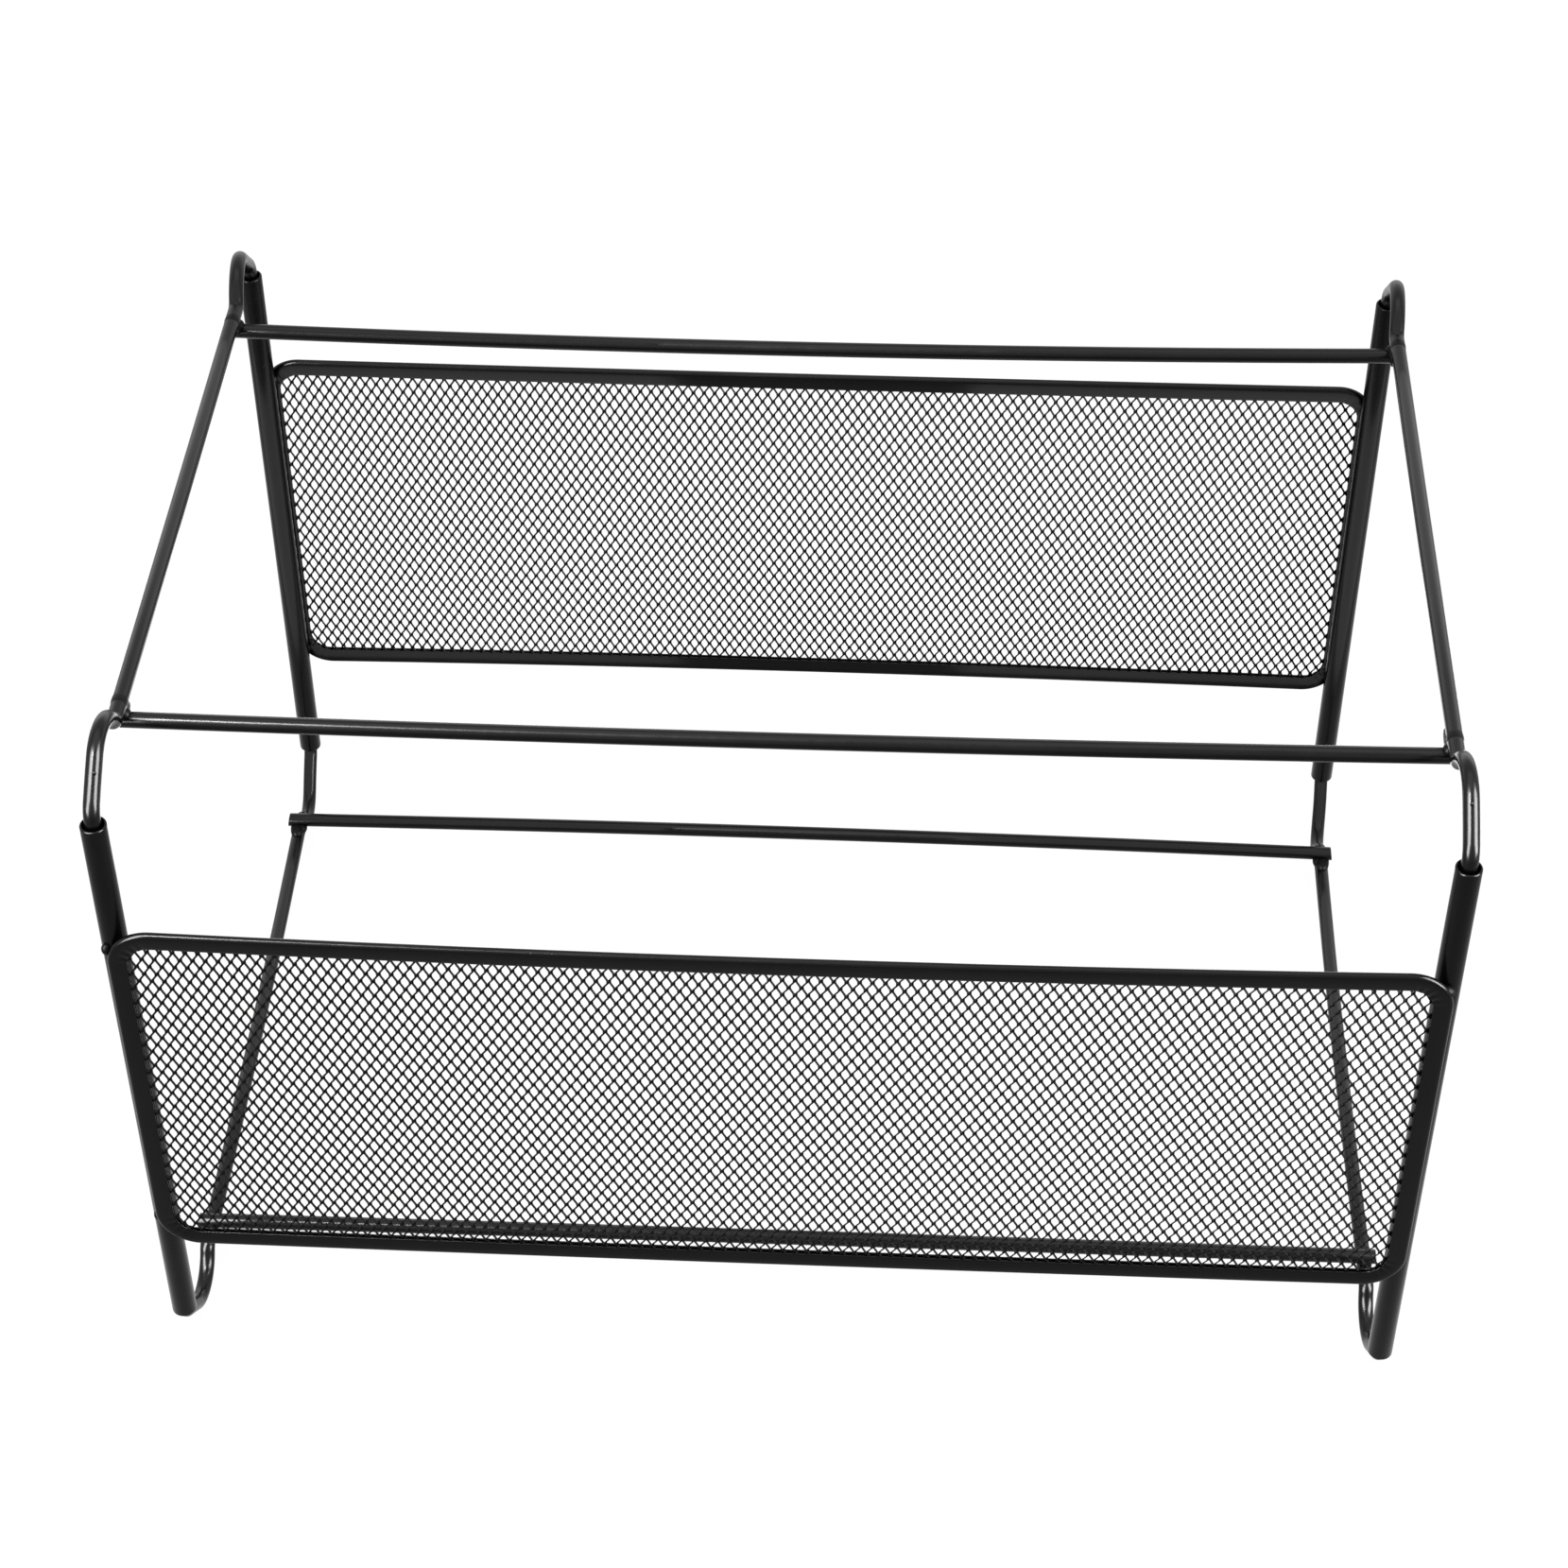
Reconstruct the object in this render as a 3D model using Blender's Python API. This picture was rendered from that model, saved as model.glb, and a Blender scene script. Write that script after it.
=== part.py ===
# Desk file basket of black enamelled steel, knocked down into four welded parts:
# a bottom frame and a top frame of bent wire, and a front and a rear mesh panel.
# The panels stand on the bottom frame's plug legs, and the top frame plugs into
# their tubes from above. Metres, +Z up, the floor at z = 0, the front at -Y.

import math

import bmesh
import bpy
from mathutils import Matrix, Vector

# Spacing of the four corner tubes, axis to axis, and their length.
WIDTH = 0.316
DEPTH = 0.224
TUBE_LENGTH = 0.1763

# Air between two pieces that touch on the real basket.
GAP = 0.0003

# Round stock.
WIRE_DIAMETER = 0.0040
BAR_DIAMETER = 0.0040
TUBE_WALL = 0.0005
PLUG_PLAY = 0.0007  # radial play of a plug leg in its tube
WIRE_SIDES = 12
TUBE_SIDES = 24

# Side wires, alike in both frames. From each plug leg the wire leans inwards at the neck,
# climbs straight, turns over the crown, falls and eases into the level rail.
LEG_LENGTH = 0.029
NECK_BEND = 0.0040  # inside radius
CLIMB_SLOPE = math.radians(42)
CLIMB_RUN = 0.0106
CROWN_BEND = 0.0085  # inside radius
CREST_HALF = math.radians(7)  # half of the flat stretch on the crown
FALL_SLOPE = math.radians(60)
FALL_RUN = 0.0004
EASE_BEND = 0.0012  # inside radius
NECK_STEPS = 4
CROWN_STEPS = (3, 1, 5)  # up to the flat stretch, along it, and down from it
EASE_STEPS = 4
FOOT_SEAT = 0.00135  # how far the bottom frame's necks sink into the tubes
HUMP_STAND = 0.0006  # how far the top frame's necks stand off the tubes

# Cross bars, two on each frame, on the side of the rails that faces the other frame.
BAR_INSET = 0.0024  # bar's axis from the end of the rail's level stretch
BOTTOM_OVERHANG = 0.0026  # bar's end beyond the rail's axis
TOP_OVERHANG = -0.0004

# Weld beads, a collar round each bar's end.
BEAD_LENGTH = 0.0012
BEAD_FOOT = 0.0009  # radial thickness at the rail
BEAD_TIP = 0.0003  # radial thickness on the bar
BEAD_SIDES = 12

# Panel rim, a sheet channel folded round the mesh's edge.
RIM_BASE = 0.0325  # tube's lower end to the rim's lower edge
RIM_SETBACK = 0.0318  # rim's upper edge to the tube's upper end
RIM_BAND = 0.0050
RIM_INSET = 0.0018  # rim's side edge in from the tube's outer side
RIM_WALL = 0.0004
RIM_CORNER = 0.011
CORNER_STEPS = 6

# Expanded-metal net, drawn coarser than the real 3 mm by 5 mm mesh.
NET_THICKNESS = 0.0006
NET_HEM = 0.0035  # plain edge that the channel hides
NET_STRAND = 0.0012
NET_COLUMNS = 20
NET_ROWS = 4

# What follows from the sizes above.
wire_radius = WIRE_DIAMETER / 2
wire_flat = wire_radius * math.cos(math.pi / WIRE_SIDES)
bar_radius = BAR_DIAMETER / 2
bar_flat = bar_radius * math.cos(math.pi / WIRE_SIDES)
neck_radius = NECK_BEND + wire_radius
crown_radius = CROWN_BEND + wire_radius
ease_radius = EASE_BEND + wire_radius
bore_radius = wire_radius + PLUG_PLAY
tube_radius = bore_radius + TUBE_WALL
slot_thickness = NET_THICKNESS + 2 * GAP
rim_thickness = slot_thickness + 2 * RIM_WALL
rim_width = WIDTH + 2 * (tube_radius - RIM_INSET)
rim_height = TUBE_LENGTH - RIM_BASE - RIM_SETBACK
rim_offset = tube_radius + GAP + rim_thickness / 2

# Paint of each kind of piece: base colour, roughness, metallic.
FINISHES = {
    "wire": ((0.012, 0.012, 0.013), 0.32, 0.0),
    "bar": ((0.012, 0.012, 0.013), 0.34, 0.0),
    "tube": ((0.010, 0.010, 0.011), 0.38, 0.0),
    "rim": ((0.011, 0.011, 0.012), 0.36, 0.0),
    "mesh": ((0.009, 0.009, 0.010), 0.45, 0.0),
    "weld": ((0.013, 0.013, 0.014), 0.30, 0.0),
}


def bend_span():
    """Horizontal distance from a leg's axis to the start of the level rail."""
    return (
        neck_radius * (1 - math.sin(CLIMB_SLOPE))
        + CLIMB_RUN * math.cos(CLIMB_SLOPE)
        + crown_radius * (math.sin(CLIMB_SLOPE) + math.sin(FALL_SLOPE))
        + FALL_RUN * math.cos(FALL_SLOPE)
        + ease_radius * math.sin(FALL_SLOPE)
    )


def crest_height():
    """Height of the crown's axis over the start of the neck."""
    return (
        neck_radius * math.cos(CLIMB_SLOPE)
        + CLIMB_RUN * math.sin(CLIMB_SLOPE)
        + crown_radius * (1 - math.cos(CLIMB_SLOPE))
    )


def rail_height():
    """Height of the level rail's axis over the start of the neck."""
    fall = (crown_radius + ease_radius) * (1 - math.cos(FALL_SLOPE))
    return crest_height() - fall - FALL_RUN * math.sin(FALL_SLOPE)


def rail_half():
    """Half of the level stretch of a rail."""
    return DEPTH / 2 - bend_span()


class Bender:
    """A round wire in the YZ plane, fed as straight runs and arcs like stock in a bender."""

    def __init__(self, radius, start, heading):
        self.mesh = bmesh.new()
        self.point = Vector(start)
        self.heading = heading
        stand = Matrix.Rotation(heading - math.pi / 2, 4, "X")
        flats_square = Matrix.Rotation(math.pi / WIRE_SIDES, 4, "Z")
        bmesh.ops.create_circle(
            self.mesh,
            cap_ends=True,
            segments=WIRE_SIDES,
            radius=radius,
            matrix=Matrix.Translation(self.point) @ stand @ flats_square,
        )
        self.end = self.mesh.faces[:][0]
        self.started = False

    def move_end(self, grown):
        """Takes the new end face, and drops the one it grew from unless that caps the start."""
        if self.started:
            bmesh.ops.delete(self.mesh, geom=[self.end], context="FACES_ONLY")
        self.started = True
        self.end = next(g for g in grown if isinstance(g, bmesh.types.BMFace))

    def straight(self, length):
        step = Vector((0, math.cos(self.heading), math.sin(self.heading))) * length
        grown = bmesh.ops.extrude_face_region(self.mesh, geom=[self.end])["geom"]
        bmesh.ops.translate(
            self.mesh, vec=step, verts=[g for g in grown if isinstance(g, bmesh.types.BMVert)]
        )
        self.move_end(grown)
        self.point += step

    def bend(self, radius, angle, steps):
        """Turns by angle, positive from +Y towards +Z."""
        side = math.copysign(radius, angle)
        normal = Vector((0, -math.sin(self.heading), math.cos(self.heading)))
        centre = self.point + normal * side
        grown = bmesh.ops.spin(
            self.mesh,
            geom=[self.end],
            cent=centre,
            axis=(1, 0, 0),
            angle=angle,
            steps=steps,
            use_duplicate=False,
        )["geom_last"]
        self.move_end(grown)
        self.heading += angle
        turned = Vector((0, -math.sin(self.heading), math.cos(self.heading)))
        self.point = centre - turned * side


def side_wire():
    """Leg, bends, rail, bends and leg in one wire, legs up, with z = 0 where the necks start."""
    wire = Bender(wire_radius, (0, -DEPTH / 2, LEG_LENGTH), -math.pi / 2)
    crown = list(
        zip(
            (CLIMB_SLOPE - CREST_HALF, 2 * CREST_HALF, FALL_SLOPE - CREST_HALF),
            CROWN_STEPS,
        )
    )
    neck = math.pi / 2 - CLIMB_SLOPE
    wire.straight(LEG_LENGTH)
    wire.bend(neck_radius, neck, NECK_STEPS)
    wire.straight(CLIMB_RUN)
    for angle, steps in crown:
        wire.bend(crown_radius, angle, steps)
    wire.straight(FALL_RUN)
    wire.bend(ease_radius, -FALL_SLOPE, EASE_STEPS)
    wire.straight(2 * rail_half())
    wire.bend(ease_radius, -FALL_SLOPE, EASE_STEPS)
    wire.straight(FALL_RUN)
    for angle, steps in reversed(crown):
        wire.bend(crown_radius, angle, steps)
    wire.straight(CLIMB_RUN)
    wire.bend(neck_radius, neck, NECK_STEPS)
    wire.straight(LEG_LENGTH)
    return wire.mesh


def cross_bar(length):
    """A round bar along X, flats facing up and to the sides."""
    bar = bmesh.new()
    bmesh.ops.create_cone(
        bar,
        cap_ends=True,
        segments=WIRE_SIDES,
        radius1=bar_radius,
        radius2=bar_radius,
        depth=length,
        matrix=Matrix.Rotation(math.pi / 2, 4, "Y")
        @ Matrix.Rotation(math.pi / WIRE_SIDES, 4, "Z"),
    )
    return bar


def turned(profile, axis, sides):
    """A closed profile of points in the XZ plane, spun once round an axis through the origin."""
    ring = bmesh.new()
    corners = [ring.verts.new((x, 0, z)) for x, z in profile]
    edges = [
        ring.edges.new((corner, corners[(i + 1) % len(corners)]))
        for i, corner in enumerate(corners)
    ]
    bmesh.ops.spin(
        ring,
        geom=corners + edges,
        cent=(0, 0, 0),
        axis=axis,
        angle=2 * math.pi,
        steps=sides,
        use_merge=True,
    )
    return ring


def corner_tube():
    """An open tube on Z, from z = 0 up."""
    return turned(
        [
            (bore_radius, 0),
            (tube_radius, 0),
            (tube_radius, TUBE_LENGTH),
            (bore_radius, TUBE_LENGTH),
        ],
        (0, 0, 1),
        TUBE_SIDES,
    )


def weld_bead():
    """A tapered collar on X, its thick foot at x = 0 and its tip at -X."""
    inner = bar_radius + GAP
    return turned(
        [
            (0, inner),
            (0, inner + BEAD_FOOT),
            (-BEAD_LENGTH, inner + BEAD_TIP),
            (-BEAD_LENGTH, inner),
        ],
        (1, 0, 0),
        BEAD_SIDES,
    )


def rounded_plate(width, height, thickness, corner):
    """A plate in the XZ plane with round corners, centred on the origin."""
    plate = bmesh.new()
    bmesh.ops.create_cube(plate, size=1, matrix=Matrix.Diagonal((width, thickness, height, 1)))
    along_y = [
        edge
        for edge in plate.edges
        if abs(edge.verts[0].co.y - edge.verts[1].co.y) > thickness / 2
    ]
    bmesh.ops.bevel(
        plate,
        geom=along_y,
        affect="EDGES",
        offset=corner,
        segments=CORNER_STEPS,
        profile=0.5,
        material=-1,
    )
    return plate


def carved(base, cutters, operation="DIFFERENCE"):
    """A new shape, base less each cutter, or what base and cutters share."""
    helpers = []
    for shape in [base, *cutters]:
        mesh = bpy.data.meshes.new("helper")
        bmesh.ops.recalc_face_normals(shape, faces=shape.faces[:])
        shape.to_mesh(mesh)
        shape.free()
        helpers.append(bpy.data.objects.new("helper", mesh))
        bpy.context.scene.collection.objects.link(helpers[-1])
    for helper in helpers[1:]:
        cut = helpers[0].modifiers.new("cut", "BOOLEAN")
        cut.operation = operation
        cut.object = helper
    graph = bpy.context.evaluated_depsgraph_get()
    result = bmesh.new()
    result.from_object(helpers[0], graph)
    for helper in helpers:
        mesh = helper.data
        bpy.data.objects.remove(helper)
        bpy.data.meshes.remove(mesh)
    return result


def rim_channel():
    """The folded channel: a rounded plate with a window and a slot for the net's edge."""
    window_width = rim_width - 2 * RIM_BAND
    window_height = rim_height - 2 * RIM_BAND
    window_corner = max(RIM_CORNER - RIM_BAND, GAP)
    return carved(
        rounded_plate(rim_width, rim_height, rim_thickness, RIM_CORNER),
        [
            rounded_plate(window_width, window_height, 2 * rim_thickness, window_corner),
            rounded_plate(
                rim_width - 2 * RIM_WALL,
                rim_height - 2 * RIM_WALL,
                slot_thickness,
                RIM_CORNER - RIM_WALL,
            ),
        ],
    )


def diamond_net():
    """The net: a rounded plate whose hem sits in the channel, opened by rows of diamonds."""
    inset = RIM_WALL + GAP
    net_width = rim_width - 2 * inset
    net_height = rim_height - 2 * inset
    net_corner = RIM_CORNER - inset
    open_width = net_width - 2 * NET_HEM
    open_height = net_height - 2 * NET_HEM
    half_x = open_width / NET_COLUMNS / 2
    half_z = open_height / NET_ROWS / 2
    shrink = 1 - NET_STRAND / 2 * math.hypot(1 / half_x, 1 / half_z)
    diamonds = bmesh.new()
    for column in range(2 * NET_COLUMNS + 1):
        for row in range(column % 2, 2 * NET_ROWS + 1, 2):
            centre = Vector(
                (column * half_x - open_width / 2, 0, row * half_z - open_height / 2)
            )
            size = Matrix.Diagonal((half_x * shrink, NET_THICKNESS, half_z * shrink, 1))
            bmesh.ops.create_cone(
                diamonds,
                cap_ends=True,
                segments=4,
                radius1=1,
                radius2=1,
                depth=3,
                matrix=Matrix.Translation(centre) @ size @ Matrix.Rotation(math.pi / 2, 4, "X"),
            )
    opening = rounded_plate(
        open_width, open_height, 2 * NET_THICKNESS, max(net_corner - NET_HEM, GAP)
    )
    gaps = carved(diamonds, [opening], "INTERSECT")
    return carved(rounded_plate(net_width, net_height, NET_THICKNESS, net_corner), [gaps])


def empty(name, location, rotation=(0, 0, 0)):
    holder = bpy.data.objects.new(name, None)
    holder.empty_display_size = 0.02
    holder.location = location
    holder.rotation_euler = rotation
    bpy.context.scene.collection.objects.link(holder)
    return holder


def enamel(name, kind):
    colour, roughness, metallic = FINISHES[kind]
    material = bpy.data.materials.new(name + "_enamel")
    material.use_nodes = True
    surface = material.node_tree.nodes["Principled BSDF"]
    surface.inputs["Base Color"].default_value = (*colour, 1)
    surface.inputs["Roughness"].default_value = roughness
    surface.inputs["Metallic"].default_value = metallic
    material.diffuse_color = (*colour, 1)
    return material


def piece(name, kind, shape, parent, location, rotation=(0, 0, 0)):
    """One named object made from a bmesh, which stays usable for the next copy."""
    bmesh.ops.recalc_face_normals(shape, faces=shape.faces[:])
    mesh = bpy.data.meshes.new(name)
    shape.to_mesh(mesh)
    mesh.materials.append(enamel(name, kind))
    mesh.shade_smooth()
    mesh.set_sharp_from_angle(angle=math.radians(35))
    thing = bpy.data.objects.new(name, mesh)
    thing.parent = parent
    thing.location = location
    thing.rotation_euler = rotation
    bpy.context.scene.collection.objects.link(thing)
    return thing


def wire_frame(name, holder, wire, overhang):
    """Two side wires with two cross bars on them, in the holder's frame, legs up."""
    bar_y = rail_half() - BAR_INSET
    bar_z = wire_flat + bar_flat + GAP - rail_height()
    bar = cross_bar(WIDTH + 2 * overhang)
    bead = weld_bead()
    bead_x = WIDTH / 2 - wire_flat - GAP
    # A frame turned upside down about X has its front at +Y.
    front = -1 if holder.rotation_euler.x == 0 else 1
    for side, x in (("left", -1), ("right", 1)):
        piece(f"{name}_{side}_wire", "wire", wire, holder, (x * WIDTH / 2, 0, 0))
    for end, y in (("front", front), ("rear", -front)):
        place = Vector((0, y * bar_y, bar_z))
        piece(f"{name}_{end}_bar", "bar", bar, holder, place)
        for side, x in (("left", -1), ("right", 1)):
            turn = 0 if x > 0 else math.pi
            piece(
                f"{name}_{end}_{side}_weld",
                "weld",
                bead,
                holder,
                place + Vector((x * bead_x, 0, 0)),
                (0, 0, turn),
            )


def mesh_panel(name, holder, sides, rim, net, tube):
    """Two tubes with the framed net on their outer faces, which look to the holder's -Y."""
    middle = RIM_BASE + rim_height / 2
    for side, x in zip(sides, (-1, 1)):
        piece(f"{name}_{side}_tube", "tube", tube, holder, (x * WIDTH / 2, 0, 0))
    piece(f"{name}_rim", "rim", rim, holder, (0, -rim_offset, middle))
    piece(f"{name}_mesh", "mesh", net, holder, (0, -rim_offset, middle))


def build():
    for old in bpy.data.objects[:]:
        bpy.data.objects.remove(old)

    # The bottom frame stands on its crowns' flat stretches.
    crown_centre = crest_height() - crown_radius
    floor_to_neck = crown_centre + (crown_radius + wire_flat) * math.cos(CREST_HALF)
    tube_bottom = floor_to_neck - FOOT_SEAT
    tube_top = tube_bottom + TUBE_LENGTH

    bottom = empty("bottom_frame", (0, 0, tube_bottom + FOOT_SEAT))
    front = empty("front_panel", (0, -DEPTH / 2, tube_bottom))
    rear = empty("rear_panel", (0, DEPTH / 2, tube_bottom), (0, 0, math.pi))
    top = empty("top_frame", (0, 0, tube_top + HUMP_STAND), (math.pi, 0, 0))

    # The top frame is the bottom frame turned over, with shorter bars.
    wire = side_wire()
    wire_frame("bottom", bottom, wire, BOTTOM_OVERHANG)
    wire_frame("top", top, wire, TOP_OVERHANG)

    rim, net, tube = rim_channel(), diamond_net(), corner_tube()
    mesh_panel("front", front, ("left", "right"), rim, net, tube)
    mesh_panel("rear", rear, ("right", "left"), rim, net, tube)


build()
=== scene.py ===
import math

import bmesh
import bpy
from mathutils import Matrix, Vector


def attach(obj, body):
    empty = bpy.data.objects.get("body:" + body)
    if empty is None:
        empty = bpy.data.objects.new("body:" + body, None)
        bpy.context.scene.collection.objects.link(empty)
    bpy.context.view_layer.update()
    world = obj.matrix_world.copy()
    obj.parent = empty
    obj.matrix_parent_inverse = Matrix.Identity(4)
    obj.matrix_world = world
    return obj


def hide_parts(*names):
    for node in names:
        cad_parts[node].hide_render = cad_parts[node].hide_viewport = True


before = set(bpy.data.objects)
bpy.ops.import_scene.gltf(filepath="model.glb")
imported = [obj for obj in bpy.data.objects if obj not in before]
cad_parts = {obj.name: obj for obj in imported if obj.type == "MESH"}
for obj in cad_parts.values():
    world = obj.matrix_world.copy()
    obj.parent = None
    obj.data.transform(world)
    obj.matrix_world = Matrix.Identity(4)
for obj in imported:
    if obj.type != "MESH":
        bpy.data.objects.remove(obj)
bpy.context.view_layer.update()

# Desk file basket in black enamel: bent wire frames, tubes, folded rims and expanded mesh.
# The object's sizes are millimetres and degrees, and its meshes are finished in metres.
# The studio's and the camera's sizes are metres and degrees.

mm = 0.001
micrometre = 1e-6
touch = 0.01        # millimetres within which two places count as one
merge = 0.001       # millimetres within which doubled points are joined
cutAngle = 1.0      # radians past which a fold is the edge of a cut
sides = (("Left", -1), ("Right", 1))
ends = (("Front", -1), ("Rear", 1))
plain = Matrix.Identity(4)
halfTurn = Matrix.Rotation(math.pi, 4, "Z")
upsideDown = Matrix.Rotation(math.pi, 4, "X")
alongX = Matrix.Rotation(math.pi / 2, 4, "Y")
alongY = Matrix.Rotation(math.pi / 2, 4, "X")
panels = (("front", plain), ("rear", halfTurn))
print("frame loaded:", len(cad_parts), "nodes")


def newVerts(grown):
    return [g for g in grown if isinstance(g, bmesh.types.BMVert)]


def pushRing(bm, ring, step, parts=1):
    # Extrudes a chain of edges along step and returns its new end.
    for part in range(parts):
        grown = bmesh.ops.extrude_edge_only(bm, edges=ring)["geom"]
        fresh = set(newVerts(grown))
        bmesh.ops.translate(bm, vec=step / parts, verts=list(fresh))
        ring = [e for e in bm.edges if e.verts[0] in fresh and e.verts[1] in fresh]
    return ring


def spinRing(bm, ring, centre, axis, angle, steps):
    # Sweeps a chain of edges round an axis and returns its new end.
    verts = list({v for e in ring for v in e.verts})
    last = bmesh.ops.spin(
        bm, geom=verts + ring, cent=centre, axis=axis, angle=math.radians(angle),
        steps=steps, use_duplicate=False)["geom_last"]
    return [g for g in last if isinstance(g, bmesh.types.BMEdge)]


def closeEnds(bm):
    bmesh.ops.holes_fill(bm, edges=[e for e in bm.edges if e.is_boundary], sides=0)


def smoothStep(value):
    value = min(1, max(0, value))
    return value * value * (3 - 2 * value)


def finishPiece(bm, name, material, body, nodes, place=plain, sharp=40, flat=False):
    # Places the shape, turns its faces outward, brings it to metres and hands it over.
    bmesh.ops.transform(bm, matrix=place, verts=bm.verts)
    bmesh.ops.recalc_face_normals(bm, faces=bm.faces[:])
    bmesh.ops.scale(bm, vec=(mm, mm, mm), verts=bm.verts)
    mesh = bpy.data.meshes.new(name)
    bm.to_mesh(mesh)
    bm.free()
    if not flat:
        mesh.shade_smooth()
        mesh.set_sharp_from_angle(angle=math.radians(sharp))
    mesh.materials.append(material)
    piece = bpy.data.objects.new(name, mesh)
    bpy.context.scene.collection.objects.link(piece)
    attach(piece, body)
    if nodes:
        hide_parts(*nodes)
    return piece


def addNode(tree, kind, **settings):
    node = tree.nodes.new(kind)
    for key, value in settings.items():
        setattr(node, key, value)
    return node


# Enamel: one group makes the paint's skin, and each kind of piece has its own values.
skinValues = dict(
    # scale and detail of each noise, where the peel's scale comes from each material
    peelDetail=2.0, sag=(120.0, 1.0), grit=(1400.0, 0.0), cloud=(60.0, 3.0),
    nibFrom=0.77, nibTo=0.85,           # grit that stands out as a nib
    dustFrom=0.42, dustTo=0.78,         # cloud that shows as dust
    sagHeight=4.0, nibHeight=5.0,       # against the peel's height
    nibDust=0.5, dustRough=0.12, peelRough=0.06,
    blueTint=1.08,
)


def enamelSkinGroup():
    # Orange peel, slow sags, dust nibs and a faint mottling.
    v = skinValues
    group = bpy.data.node_groups.new("enamelSkin", "ShaderNodeTree")
    for name, kind, value in (
        ("Paint", "NodeSocketColor", (0.01, 0.01, 0.01, 1)),
        ("Dusty Paint", "NodeSocketColor", (0.02, 0.02, 0.02, 1)),
        ("Roughness", "NodeSocketFloat", 0.2),
        ("Peel Scale", "NodeSocketFloat", 900.0),
        ("Peel", "NodeSocketFloat", 1.0),
        ("Sag", "NodeSocketFloat", 1.0),
        ("Nibs", "NodeSocketFloat", 1.0),
        ("Dust", "NodeSocketFloat", 0.3),
    ):
        socket = group.interface.new_socket(name=name, in_out="INPUT", socket_type=kind)
        socket.default_value = value
    for name, kind in (
        ("Color", "NodeSocketColor"),
        ("Roughness", "NodeSocketFloat"),
        ("Height", "NodeSocketFloat"),
    ):
        group.interface.new_socket(name=name, in_out="OUTPUT", socket_type=kind)
    start = addNode(group, "NodeGroupInput")
    end = addNode(group, "NodeGroupOutput")
    spot = addNode(group, "ShaderNodeTexCoord")
    link = group.links.new

    def noise(scale, detail):
        node = addNode(group, "ShaderNodeTexNoise")
        node.inputs["Detail"].default_value = detail
        if scale:
            node.inputs["Scale"].default_value = scale
        link(spot.outputs["Object"], node.inputs["Vector"])
        return node

    def combine(operation, first, second):
        node = addNode(group, "ShaderNodeMath", operation=operation)
        for socket, value in zip(node.inputs, (first, second)):
            if isinstance(value, float):
                socket.default_value = value
            else:
                link(value, socket)
        return node.outputs[0]

    peel = noise(None, v["peelDetail"])
    link(start.outputs["Peel Scale"], peel.inputs["Scale"])
    sag = noise(*v["sag"])
    grit = noise(*v["grit"])
    cloud = noise(*v["cloud"])

    nib = addNode(group, "ShaderNodeMapRange", interpolation_type="SMOOTHSTEP")
    nib.inputs["From Min"].default_value = v["nibFrom"]
    nib.inputs["From Max"].default_value = v["nibTo"]
    link(grit.outputs["Fac"], nib.inputs["Value"])
    nibs = combine("MULTIPLY", nib.outputs["Result"], start.outputs["Nibs"])

    peelHeight = combine("MULTIPLY", peel.outputs["Fac"], start.outputs["Peel"])
    sagHeight = combine("MULTIPLY", sag.outputs["Fac"], start.outputs["Sag"])
    height = combine("ADD", peelHeight, combine("MULTIPLY", sagHeight, v["sagHeight"]))
    height = combine("ADD", height, combine("MULTIPLY", nibs, v["nibHeight"]))
    link(height, end.inputs["Height"])

    dust = addNode(group, "ShaderNodeMapRange")
    dust.inputs["From Min"].default_value = v["dustFrom"]
    dust.inputs["From Max"].default_value = v["dustTo"]
    link(cloud.outputs["Fac"], dust.inputs["Value"])
    dusty = combine("MULTIPLY", dust.outputs["Result"], start.outputs["Dust"])
    colour = addNode(group, "ShaderNodeMix", data_type="RGBA")
    share = combine("MAXIMUM", dusty, combine("MULTIPLY", nibs, v["nibDust"]))
    link(share, colour.inputs["Factor"])
    link(start.outputs["Paint"], colour.inputs["A"])
    link(start.outputs["Dusty Paint"], colour.inputs["B"])
    link(colour.outputs["Result"], end.inputs["Color"])

    dustRough = combine("MULTIPLY", dusty, v["dustRough"])
    rough = combine("ADD", start.outputs["Roughness"], dustRough)
    drift = combine("MULTIPLY", combine("SUBTRACT", peel.outputs["Fac"], 0.5), v["peelRough"])
    link(combine("ADD", rough, drift), end.inputs["Roughness"])
    return group


enamels = dict(
    # level is the specular level, scale the orange peel's, bump its depth in micrometres
    wire=dict(paint=0.0022, dusty=0.008, level=0.105, rough=0.24, scale=450, bump=1.8, peel=0.2,
              sag=0.5, nibs=0.2, dust=0.25),
    bar=dict(paint=0.0022, dusty=0.008, level=0.10, rough=0.22, scale=450, bump=1.5, peel=0.2,
             sag=0.5, nibs=0.2, dust=0.25),
    tube=dict(paint=0.0018, dusty=0.007, level=0.09, rough=0.21, scale=450, bump=4, peel=0.6,
              sag=0.7, nibs=0.8, dust=0.3),
    rim=dict(paint=0.0016, dusty=0.006, level=0.09, rough=0.20, scale=450, bump=4, peel=0.5,
             sag=1.0, nibs=0.6, dust=0.3),
    mesh=dict(paint=0.0016, dusty=0.004, level=0.03, rough=0.50, scale=1200, bump=4, peel=0.6,
              sag=0.3, nibs=0.3, dust=0.2),
    weld=dict(paint=0.0022, dusty=0.008, level=0.045, rough=0.42, scale=700, bump=2, peel=0.6,
              sag=0.8, nibs=0.6, dust=0.2),
)


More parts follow.
